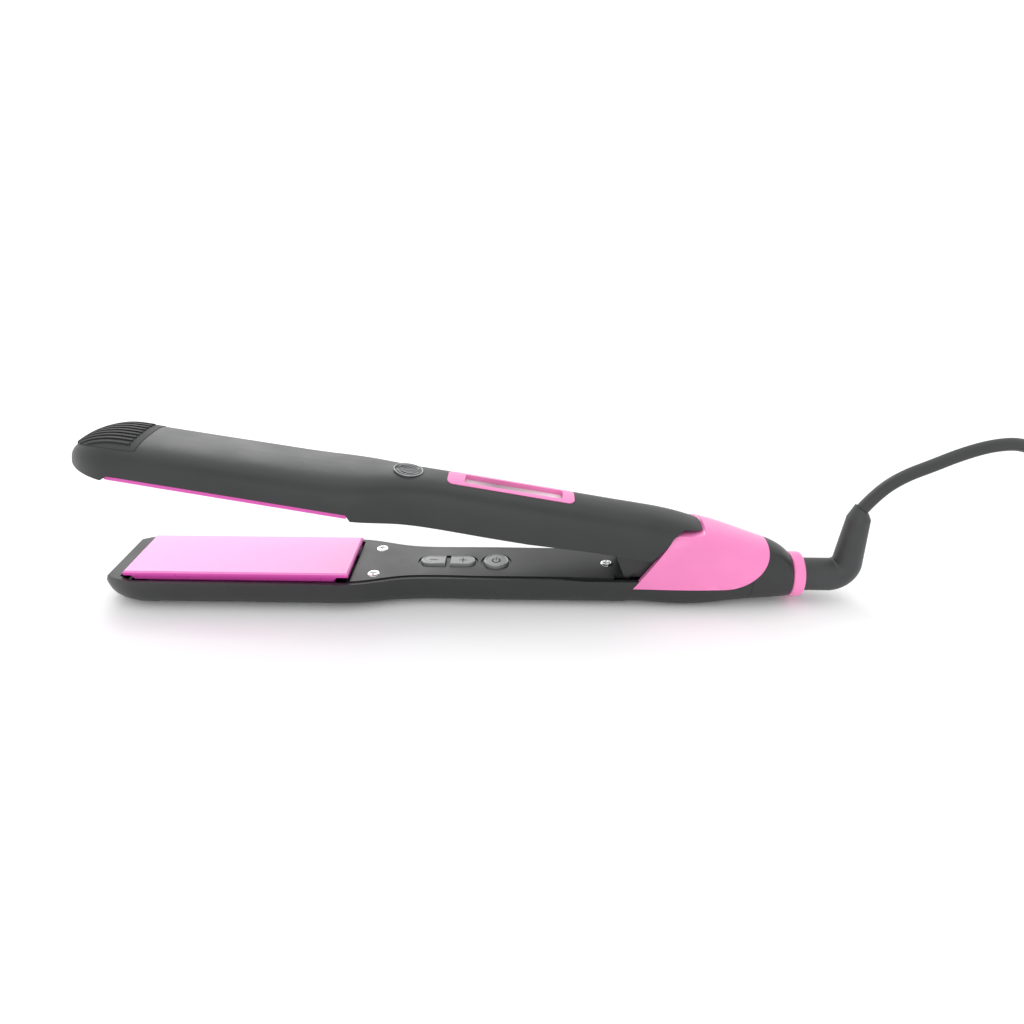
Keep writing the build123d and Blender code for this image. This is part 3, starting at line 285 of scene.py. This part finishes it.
# %% Finishes onto the CAD pieces
finish_of_slot = {
    "housing_plastic": charcoal, "inner_plastic": charcoal_inner, "grip_rubber": pad_rubber,
    "pink_gloss": pink_gloss, "heater_ceramic": heater_clay, "seat_plastic": seat_black,
    "spring_steel": spring_steel, "screw_steel": screw_steel, "key_plastic": key_silver,
    "circuit_board": board_green, "switch_plastic": switch_black, "brass": brass,
    "silicone": silicone, "clear_lens": lens_finish, "badge_metal": key_ink,
    "cord_pvc": cord_sheath, "lead_insulation": lead_sleeve, "tie_fabric": pad_rubber,
    "sensor_glass": bulb_glass, "plate_coating": lower_plate_coat,
}
finish_of_node = {
    "upper_plate": upper_plate_coat, "cord_elbow": relief_rubber, "plug_body": relief_rubber,
    "indicator_window": key_ink, "swivel_collar": charcoal,
}
for part in frame["record"]["subparts"]:
    name = part["node"]
    finish = finish_of_node.get(name, finish_of_slot[part["material_slot"]])
    nodes[name].data.materials.clear()
    nodes[name].data.materials.append(finish)


# %% [markdown]
# The cord is a round two-core lead, 5 mm thick. Its whole length is a guess: about 2 m, of
# which the line below draws a little less, and the cell after prints it. It rises out of the
# angled relief, arches over and comes down behind it, where the rest is wound for storage
# in a neat hank with a tie: two straight sides and two round ends. It ends in a flat plug.
# Its line is one NURBS spline: the free run has few points, each wound turn forty.

# %% Points of the cord
CORD_RADIUS = 2.5 * MM
free_run = [
    (62.3, 0.0, 40.6), (66.8, 0.0, 48.0), (74.8, 0.0, 54.8), (85.0, 0.5, 59.2),
    (95.0, 2.0, 63.2), (107.0, 4.0, 66.2), (120.0, 7.0, 66.0), (133.0, 10.5, 60.0),
    (144.5, 14.0, 49.0), (155.0, 17.0, 38.5), (166.0, 19.2, 29.8), (179.5, 20.5, 23.4),
    (195.0, 21.2, 19.9), (212.0, 21.3, 18.3), (232.0, 21.3, 17.95), (246.0, 21.3, 17.95),
]
HANK_CENTRE = 296.0
STRAIGHT = 84.0
BEND = 42.4                        # mean length of a round end
TURN = 2 * (STRAIGHT + BEND)
COLUMNS = (16.1, 10.9)             # radii of the round ends of the two turns in a layer
LAYERS = 4
LAYER_STEP = 5.15
TURN_POINTS = 40
FIRST_MOVE = 0.08                  # in turns, where the cord moves in beside the hank
MOVE_LENGTH = 0.13                 # in turns, the length of each move to the next place
HOLD = 0.8375                      # in turns, how long each place is kept
LAST_TURN = 6.78


def on_hank(turns, radius):
    """Point of a clockwise racetrack that starts at the left end of its far side."""
    along = (turns % 1.0) * TURN
    half = STRAIGHT / 2
    if along < STRAIGHT:
        return HANK_CENTRE - half + along, radius
    if along < STRAIGHT + BEND:
        angle = math.pi / 2 - math.pi * (along - STRAIGHT) / BEND
        return HANK_CENTRE + half + radius * math.cos(angle), radius * math.sin(angle)
    if along < 2 * STRAIGHT + BEND:
        return HANK_CENTRE + half - (along - STRAIGHT - BEND), -radius
    angle = -math.pi / 2 - math.pi * (along - 2 * STRAIGHT - BEND) / BEND
    return HANK_CENTRE - half + radius * math.cos(angle), radius * math.sin(angle)


# The cord arrives on the top layer and is wound downwards, so that its end leaves at the
# bottom, where the plug lies. Each place is kept for a little less than a turn: the next
# place is always free when the cord moves over to it, as on a well-wound reel.
top = 2.5 + (LAYERS - 1) * LAYER_STEP
places = [(COLUMNS[0] + 5.2, top)]
for layer in reversed(range(LAYERS)):
    radii = COLUMNS if layer % 2 else COLUMNS[::-1]
    places += [(radius, 2.5 + layer * LAYER_STEP) for radius in radii]
wound = []
for step in range(round(LAST_TURN * TURN_POINTS) + 1):
    turns = step / TURN_POINTS
    radius, height = places[0]
    for number, (before, after) in enumerate(zip(places, places[1:])):
        share = (turns - FIRST_MOVE - number * HOLD) / MOVE_LENGTH + 0.5
        share = min(max(share, 0.0), 1.0)
        share = share * share * (3 - 2 * share)
        radius += (after[0] - before[0]) * share
        height += (after[1] - before[1]) * share
    wound.append((*on_hank(turns, radius), height))
tail_run = [(258.0, -16.1, 2.5), (250.0, -16.0, 2.5), (243.0, -15.4, 2.5), (236.0, -12.8, 2.5),
            (229.0, -10.1, 2.5), (222.5, -9.5, 2.5), (219.0, -9.5, 2.7)]
cord_points = free_run + wound + tail_run
print("cord points", len(cord_points))


# %% [markdown]
# A curve with no bevel gives back the smooth line itself. The tube is then a Geometry Nodes
# job, because it is one round section carried along a path: mesh line to curve, curve to
# mesh.

# %% Cord line and tube
line_data = bpy.data.curves.new("cord_line", "CURVE")
line_data.dimensions = "3D"
spline = line_data.splines.new("NURBS")
spline.points.add(len(cord_points) - 1)
for point, (x, y, z) in zip(spline.points, cord_points):
    point.co = (x * MM, y * MM, z * MM, 1)
spline.order_u = 3
spline.use_endpoint_u = True
spline.resolution_u = 6
line_object = bpy.data.objects.new("cord_line", line_data)
scene.collection.objects.link(line_object)
bpy.context.view_layer.update()
line_mesh = bpy.data.meshes.new_from_object(line_object)
cord_path = [tuple(v.co) for v in line_mesh.vertices]
bpy.data.objects.remove(line_object)
cord_length = sum((Vector(a) - Vector(b)).length for a, b in zip(cord_path, cord_path[1:]))
print("cord length", round(cord_length, 3), "points on its line", len(cord_path))


def new_tree(name, **inputs):
    """A Geometry Nodes tree with named float inputs; gives the tree and its two end nodes."""
    tree = bpy.data.node_groups.new(name, "GeometryNodeTree")
    tree.interface.new_socket("Geometry", in_out="INPUT", socket_type="NodeSocketGeometry")
    tree.interface.new_socket("Geometry", in_out="OUTPUT", socket_type="NodeSocketGeometry")
    for label, value in inputs.items():
        kind = "NodeSocketInt" if isinstance(value, int) else "NodeSocketFloat"
        socket = tree.interface.new_socket(label, in_out="INPUT", socket_type=kind)
        socket.default_value = value
    return tree, tree.nodes.new("NodeGroupInput"), tree.nodes.new("NodeGroupOutput")


def end_tree(tree, group_out, geometry, material):
    """Every tree ends the same way: real geometry with its finish set."""
    real = tree.nodes.new("GeometryNodeRealizeInstances")
    paint = tree.nodes.new("GeometryNodeSetMaterial")
    paint.inputs["Material"].default_value = material
    tree.links.new(geometry, real.inputs["Geometry"])
    tree.links.new(real.outputs["Geometry"], paint.inputs["Geometry"])
    tree.links.new(paint.outputs["Geometry"], group_out.inputs["Geometry"])


def run_tree(piece, tree, **values):
    """Gives the tree to a piece, sets inputs by their identifiers and bakes the result."""
    modifier = piece.modifiers.new("build", "NODES")
    modifier.node_group = tree
    for item in tree.interface.items_tree:
        if item.item_type == "SOCKET" and item.in_out == "INPUT" and item.name in values:
            modifier[item.identifier] = values[item.name]
    return bake_modifiers(piece)


tube_tree, group_in, group_out = new_tree("round_tube", Radius=CORD_RADIUS, Sides=20)
to_curve = tube_tree.nodes.new("GeometryNodeMeshToCurve")
section = tube_tree.nodes.new("GeometryNodeCurvePrimitiveCircle")
to_mesh = tube_tree.nodes.new("GeometryNodeCurveToMesh")
to_mesh.inputs["Fill Caps"].default_value = True
tube_tree.links.new(group_in.outputs["Geometry"], to_curve.inputs["Mesh"])
tube_tree.links.new(group_in.outputs["Radius"], section.inputs["Radius"])
tube_tree.links.new(group_in.outputs["Sides"], section.inputs["Resolution"])
tube_tree.links.new(to_curve.outputs["Curve"], to_mesh.inputs["Curve"])
tube_tree.links.new(section.outputs["Curve"], to_mesh.inputs["Profile Curve"])
end_tree(tube_tree, group_out, to_mesh.outputs["Mesh"], cord_sheath)
cord = add_piece("mains_cord", line_mesh)
run_tree(cord, tube_tree, Sides=20)
for face in cord.data.polygons:
    face.use_smooth = True
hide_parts("cord_tube", "cord_coil", "cord_tail")
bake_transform(cord)
print("cord faces", len(cord.data.polygons))


# %% [markdown]
# The tie is a short fabric strap over the middle of the hank, down both its sides and tucked
# under it. It is a band with rounded corners, so a rounded arch is swept to a thin ribbon,
# and a stitched weave goes on it as bump.

# %% Tie
THREAD_SCALE = 420
TIE_HALF_WIDTH = 4.5               # along the hank, in millimetres as the cord's points are
TIE_OUTSIDE = (19.9, 21.5, 3.2)    # half width, height and corner radius of its arch
TIE_INSIDE = (19.0, 20.6, 2.4)
FOOT_HEIGHT = 0.1
TIE_EDGE = 0.15 * MM


def woven(name, color):
    material, tree, shader, place = new_finish(name, color, 0.85)
    threads = []
    for axis in ("X", "Y"):
        wave = tree.nodes.new("ShaderNodeTexWave")
        wave.bands_direction = axis
        wave.inputs["Scale"].default_value = THREAD_SCALE
        tree.links.new(place.outputs["Object"], wave.inputs["Vector"])
        threads.append(wave.outputs["Fac"])
    cross = tree.nodes.new("ShaderNodeMath")
    cross.operation = "MULTIPLY"
    tree.links.new(threads[0], cross.inputs[0])
    tree.links.new(threads[1], cross.inputs[1])
    raised = (0.07, 0.07, 0.075)
    tree.links.new(ramp(tree, cross.outputs["Value"], color, raised), shader.inputs["Base Color"])
    bump(tree, shader, cross.outputs["Value"], 0.0001)
    return material


tie_weave = woven("tie_weave", (0.02, 0.02, 0.022))


def arch(half_width, height, corner, steps=6):
    """Line over the hank in the YZ plane, from one foot to the other, with round shoulders."""
    line = [(half_width, FOOT_HEIGHT)]
    for side in (1, -1):
        for step in range(steps + 1):
            angle = math.radians(90 * step / steps)
            if side < 0:
                angle = math.pi / 2 - angle
            y = side * (half_width - corner + corner * math.cos(angle))
            line.append((y, height - corner + corner * math.sin(angle)))
    line.append((-half_width, FOOT_HEIGHT))
    return line


shape = bmesh.new()
rings = []
for sizes, x in ((TIE_OUTSIDE, -TIE_HALF_WIDTH), (TIE_OUTSIDE, TIE_HALF_WIDTH),
                 (TIE_INSIDE, TIE_HALF_WIDTH), (TIE_INSIDE, -TIE_HALF_WIDTH)):
    x = (HANK_CENTRE + x) * MM
    rings.append([shape.verts.new((x, y * MM, z * MM)) for y, z in arch(*sizes)])
for ring, after in zip(rings, rings[1:] + rings[:1]):
    for index in range(len(ring) - 1):
        shape.faces.new((ring[index], ring[index + 1], after[index + 1], after[index]))
for end in (0, -1):
    shape.faces.new([ring[end] for ring in rings])
tie = from_bmesh("cord_tie", shape, smooth=False)
bevel = tie.modifiers.new("edge", "BEVEL")
bevel.width = TIE_EDGE
bevel.segments = 2
bake_modifiers(tie)
tie.data.materials.append(tie_weave)
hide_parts("coil_tie")
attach(tie, "lower_arm")
print("tie faces", len(tie.data.polygons))


# %% [markdown]
# The screws are pan heads with a cross recess. Three hold each inner cover, all alike, so
# one head is turned and cut once and Geometry Nodes set a copy at each place. The places
# and directions are read from the CAD screws, one cluster of points for each.

# %% Screw head
HEAD_RADIUS = 2.5 * MM
HEAD_RISE = 0.3 * MM
HEAD_DEPTH = 0.9 * MM
HEAD_SIDES = 40
# Shares of the head's radius and rise, from near the middle of the dome to its rim.
DOME = ((0.45, 0.97), (0.75, 0.78), (0.92, 0.45), (1.0, 0.0))


def screw_head(name, radius, rise, depth):
    """A domed head seen from +Z with its rim at z = 0, before its recess is cut."""
    shape = bmesh.new()
    profile = [(radius * out, rise * up) for out, up in DOME] + [(radius, -depth)]
    rings = []
    for reach, height in profile:
        ring = []
        for step in range(HEAD_SIDES):
            angle = 2 * math.pi * step / HEAD_SIDES
            ring.append(shape.verts.new((reach * math.cos(angle), reach * math.sin(angle), height)))
        rings.append(ring)
    top = shape.verts.new((0, 0, rise))
    for step in range(HEAD_SIDES):
        shape.faces.new((top, rings[0][step], rings[0][(step + 1) % HEAD_SIDES]))
    for ring, after in zip(rings, rings[1:]):
        for step in range(HEAD_SIDES):
            following = (step + 1) % HEAD_SIDES
            shape.faces.new((ring[step], after[step], after[following], ring[following]))
    shape.faces.new(list(reversed(rings[-1])))
    return from_bmesh(name, shape)


head = screw_head("screw_head_form", HEAD_RADIUS, HEAD_RISE, HEAD_DEPTH)
screw_tree, group_in, group_out = new_tree(
    "cross_screws", SlotLength=3.0 * MM, SlotWidth=0.62 * MM, SlotDepth=1.1 * MM)
form = screw_tree.nodes.new("GeometryNodeObjectInfo")
form.inputs["Object"].default_value = head
cut = screw_tree.nodes.new("GeometryNodeMeshBoolean")
cut.operation = "DIFFERENCE"
screw_tree.links.new(form.outputs["Geometry"], cut.inputs["Mesh 1"])
for turned in (False, True):
    size = screw_tree.nodes.new("ShaderNodeCombineXYZ")
    sides = ("SlotWidth", "SlotLength") if turned else ("SlotLength", "SlotWidth")
    screw_tree.links.new(group_in.outputs[sides[0]], size.inputs["X"])
    screw_tree.links.new(group_in.outputs[sides[1]], size.inputs["Y"])
    screw_tree.links.new(group_in.outputs["SlotDepth"], size.inputs["Z"])
    slot_box = screw_tree.nodes.new("GeometryNodeMeshCube")
    screw_tree.links.new(size.outputs["Vector"], slot_box.inputs["Size"])
    screw_tree.links.new(slot_box.outputs["Mesh"], cut.inputs["Mesh 2"])
spread = screw_tree.nodes.new("GeometryNodeInstanceOnPoints")
turn = screw_tree.nodes.new("FunctionNodeAlignEulerToVector")
turn.axis = "Z"
facing = screw_tree.nodes.new("GeometryNodeInputNamedAttribute")
facing.data_type = "FLOAT_VECTOR"
facing.inputs["Name"].default_value = "facing"
screw_tree.links.new(facing.outputs["Attribute"], turn.inputs["Vector"])
screw_tree.links.new(group_in.outputs["Geometry"], spread.inputs["Points"])
screw_tree.links.new(cut.outputs["Mesh"], spread.inputs["Instance"])
screw_tree.links.new(turn.outputs["Rotation"], spread.inputs["Rotation"])
end_tree(screw_tree, group_out, spread.outputs["Instances"], screw_steel)
print("screw head faces", len(head.data.polygons))


# %% Screws on both covers
SCREW_APART = 7 * MM               # more than a head's width, less than the screws' spacing
TOP_LAYER = 0.1 * MM
HEAD_SINK = 0.25 * MM              # how far the new rim lies below the CAD head's top


def clusters(node, reach):
    """Points of each separate solid in a node, told apart by how far off they lie."""
    groups = []
    for vertex in nodes[node].data.vertices:
        for group in groups:
            if (vertex.co.xy - group[0].xy).length < reach:
                group.append(vertex.co.copy())
                break
        else:
            groups.append([vertex.co.copy()])
    return groups


def set_screws(name, node, facing, body):
    mesh = bpy.data.meshes.new(name)
    places = []
    for group in clusters(node, SCREW_APART):
        reach = max(point.dot(facing) for point in group)
        rim = [point for point in group if point.dot(facing) > reach - TOP_LAYER]
        centre = sum(rim, Vector()) / len(rim)
        places.append(centre - facing * HEAD_SINK)
    mesh.from_pydata(places, [], [])
    direction = mesh.attributes.new("facing", "FLOAT_VECTOR", "POINT")
    for index in range(len(places)):
        direction.data[index].vector = facing
    piece = run_tree(add_piece(name, mesh), screw_tree)
    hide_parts(node)
    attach(piece, body)
    print(name, len(places), "screws")
    return piece


set_screws("lower_screw_heads", "lower_cover_screws", Vector((0, 0, 1)), "lower_arm")
set_screws("upper_screw_heads", "upper_cover_screws",
           Vector((-math.sin(OPEN_TURN), 0, -math.cos(OPEN_TURN))), "upper_arm")
bpy.data.objects.remove(head)


# %% [markdown]
# The keys carry plain marks: minus, plus and the usual power sign, printed proud of the key.
# Each mark is a few flat strokes with round ends, a thing that is quickest as a small mesh.

# %% Strokes for the key marks
STROKE_WIDTH = 0.5 * MM
STROKE_SINK = 0.05 * MM
STROKE_RISE = 0.06 * MM
END_STEPS = 8


def stroke(shape, start, end, width, z0, z1):
    """A flat bar with round ends between two points in the XY plane."""
    start, end = Vector(start), Vector(end)
    along = math.atan2(end.y - start.y, end.x - start.x)
    outline = []
    for centre, first in ((end, -90), (start, 90)):
        for step in range(END_STEPS + 1):
            angle = along + math.radians(first + 180 * step / END_STEPS)
            outline.append(centre + Vector((math.cos(angle), math.sin(angle))) * width / 2)
    top = [shape.verts.new((p.x, p.y, z1)) for p in outline]
    low = [shape.verts.new((p.x, p.y, z0)) for p in outline]
    shape.faces.new(top)
    shape.faces.new(list(reversed(low)))
    for index in range(len(top)):
        following = (index + 1) % len(top)
        shape.faces.new((top[index], low[index], low[following], top[following]))


def key_mark(name, key, body, strokes):
    """Strokes given in millimetres from the key's middle, on top of the key."""
    low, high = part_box(key)
    middle = (low + high) / 2
    shape = bmesh.new()
    for x0, y0, x1, y1 in strokes:
        start = (middle.x + x0 * MM, middle.y + y0 * MM)
        end = (middle.x + x1 * MM, middle.y + y1 * MM)
        stroke(shape, start, end, STROKE_WIDTH, high.z - STROKE_SINK, high.z + STROKE_RISE)
    piece = from_bmesh(name, shape, smooth=False)
    piece.data.materials.append(key_ink)
    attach(piece, body)
    print(name, len(piece.data.polygons), "faces")


def arc_strokes(radius, first, last, count):
    """Short strokes end to end along an arc, in millimetres and degrees."""
    corners = []
    for step in range(count + 1):
        angle = math.radians(first + (last - first) * step / count)
        corners.append((radius * math.cos(angle), radius * math.sin(angle)))
    return [(*a, *b) for a, b in zip(corners, corners[1:])]


key_mark("minus_mark", "minus_button", "minus_key", [(-1.3, 0, 1.5, 0)])
key_mark("plus_mark", "plus_button", "plus_key", [(-1.4, 0, 1.4, 0), (0, -1.4, 0, 1.4)])
key_mark("power_mark", "power_button", "power_key",
         arc_strokes(1.6, 125, 415, 16) + [(0, 0.4, 0, 2.3)])


# %% [markdown]
# A bright rim runs round each key: a thin bead on the key's edge. Its line is a circle, or
# half a circle closed by a straight side, and the tube tree carries a small section round it.

# %% Bright rims on the keys
BEAD_SIDES = 10
KEY_FLANGE = 0.7 * MM              # the part of a key's box that is hidden under its cover
RIM_INSET = 0.35 * MM
KEY_END_STEPS = 24


def bead(name, points, radius, body, closed=True):
    """A thin silver tube along a line of points."""
    mesh = bpy.data.meshes.new(name)
    edges = [(i, i + 1) for i in range(len(points) - 1)]
    if closed:
        edges.append((len(points) - 1, 0))
    mesh.from_pydata(points, edges, [])
    piece = run_tree(add_piece(name, mesh), tube_tree, Radius=radius, Sides=BEAD_SIDES)
    piece.data.materials.clear()
    piece.data.materials.append(silver_line)
    for face in piece.data.polygons:
        face.use_smooth = True
    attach(piece, body)
    print(name, len(piece.data.polygons), "faces")


def ring_points(centre, radius, count=48):
    points = []
    for step in range(count):
        angle = 2 * math.pi * step / count
        x = centre.x + radius * math.cos(angle)
        points.append((x, centre.y + radius * math.sin(angle), centre.z))
    return points


def key_top(node):
    low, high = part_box(node)
    return Vector(((low.x + high.x) / 2, (low.y + high.y) / 2, high.z))


def half_capsule(node, side):
    """Outline of a key that is round on one side (+1 or -1 along X) and straight on the other."""
    low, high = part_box(node)
    margin = KEY_FLANGE + RIM_INSET
    round_x, flat = (high.x - margin, low.x + margin)[::side]
    radius = (high.y - low.y) / 2 - margin
    points = []
    for step in range(KEY_END_STEPS + 1):
        angle = math.radians(-90 + 180 * step / KEY_END_STEPS)
        x = round_x - side * radius + side * radius * math.cos(angle)
        points.append((x, side * radius * math.sin(angle), high.z))
    points += [(flat, side * radius, high.z), (flat, -side * radius, high.z)]
    return points


power_line = ring_points(key_top("power_button"), 4.6 * MM)
bead("power_rim", power_line, 0.22 * MM, "power_key")
bead("minus_rim", half_capsule("minus_button", -1), 0.16 * MM, "minus_key")
bead("plus_rim", half_capsule("plus_button", 1), 0.16 * MM, "plus_key")

# %% [markdown]
# The round badge near the display is a dark disc with silver lines. The lines are a rim and
# two broken arcs: a plain pattern with no lettering. They lie in the tilted face of the arm.

# %% Lines on the badge
BADGE_CORE = 2.2 * MM              # the middle of the disc, whose top gives the face's height
EDGE_DROP = 0.066 / (12 * MM)      # the face falls away to both sides as the arm's top does
low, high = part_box("round_badge")
badge_middle = (low + high) / 2
badge_turn = Matrix.Rotation(OPEN_TURN, 3, "Y")
badge_points = [vertex.co for vertex in nodes["round_badge"].data.vertices]
badge_up = badge_turn @ Vector((0, 0, 1))
core = [point for point in badge_points if (point - badge_middle).length < BADGE_CORE]
badge_height = max(point.dot(badge_up) for point in core)


def badge_arc(radius, first, last, count):
    """Points of an arc that lies in the badge's face."""
    points = []
    for step in range(count + 1):
        angle = math.radians(first + (last - first) * step / count)
        flat = badge_turn @ Vector((radius * math.cos(angle), radius * math.sin(angle), 0))
        point = badge_middle + flat
        drop = EDGE_DROP * (radius * math.sin(angle)) ** 2
        point += badge_up * (badge_height - point.dot(badge_up) - drop)
        points.append(tuple(point))
    return points


badge_rim = badge_arc(5.5 * MM, 0, 360, 60)[:-1]
bead("badge_rim", badge_rim, 0.22 * MM, "upper_arm")
arcs = ((4.3, 20, 160), (4.3, 200, 340), (2.9, 40, 140), (2.9, 220, 320))
for number, (radius, first, last) in enumerate(arcs, 1):
    line = badge_arc(radius * MM, first, last, 20)
    bead(f"badge_arc_{number}", line, 0.16 * MM, "upper_arm", closed=False)

# %% [markdown]
# The studio. A pale floor lies under a white sky that does most of the lighting. A broad
# light stands behind and to the left, another hangs overhead, and a weak one fills from the
# front so that the pink edges stay clear. The floor comes out plain white but for the shadow.

# %% Floor and lights
FLOOR = 6.0                        # half the floor's side
floor_corners = [(-FLOOR, -FLOOR, 0), (FLOOR, -FLOOR, 0), (FLOOR, FLOOR, 0), (-FLOOR, FLOOR, 0)]
floor_mesh = bpy.data.meshes.new("floor")
floor_mesh.from_pydata(floor_corners, [], [(0, 1, 2, 3)])
floor = add_piece("floor", floor_mesh)
floor_finish, tree, shader, place = new_finish("floor_paper", (0.93, 0.93, 0.935), 0.85)
tree.links.new(ramp(tree, noise(tree, place, 3.0), (0.925, 0.925, 0.93), (0.94, 0.94, 0.945)),
               shader.inputs["Base Color"])
floor.data.materials.append(floor_finish)
world = bpy.data.worlds.new("studio")
world.use_nodes = True
world.node_tree.nodes["Background"].inputs["Color"].default_value = (1, 1, 1, 1)
world.node_tree.nodes["Background"].inputs["Strength"].default_value = 1.08
scene.world = world


def soft_light(name, place, target, size, energy):
    data = bpy.data.lights.new(name, "AREA")
    data.energy = energy
    data.size = size
    lamp = bpy.data.objects.new(name, data)
    scene.collection.objects.link(lamp)
    lamp.location = place
    lamp.rotation_euler = (Vector(target) - Vector(place)).to_track_quat("-Z", "Y").to_euler()
    print(name, "light", energy, "W")


soft_light("back_left", (-0.45, 0.75, 0.55), (-0.15, 0, 0.03), 0.7, 3.2)
soft_light("top", (-0.1, 0.1, 1.1), (-0.05, 0, 0), 0.9, 1.5)
soft_light("front_fill", (-0.1, -0.9, 0.35), (-0.08, 0, 0.03), 0.6, 0.8)
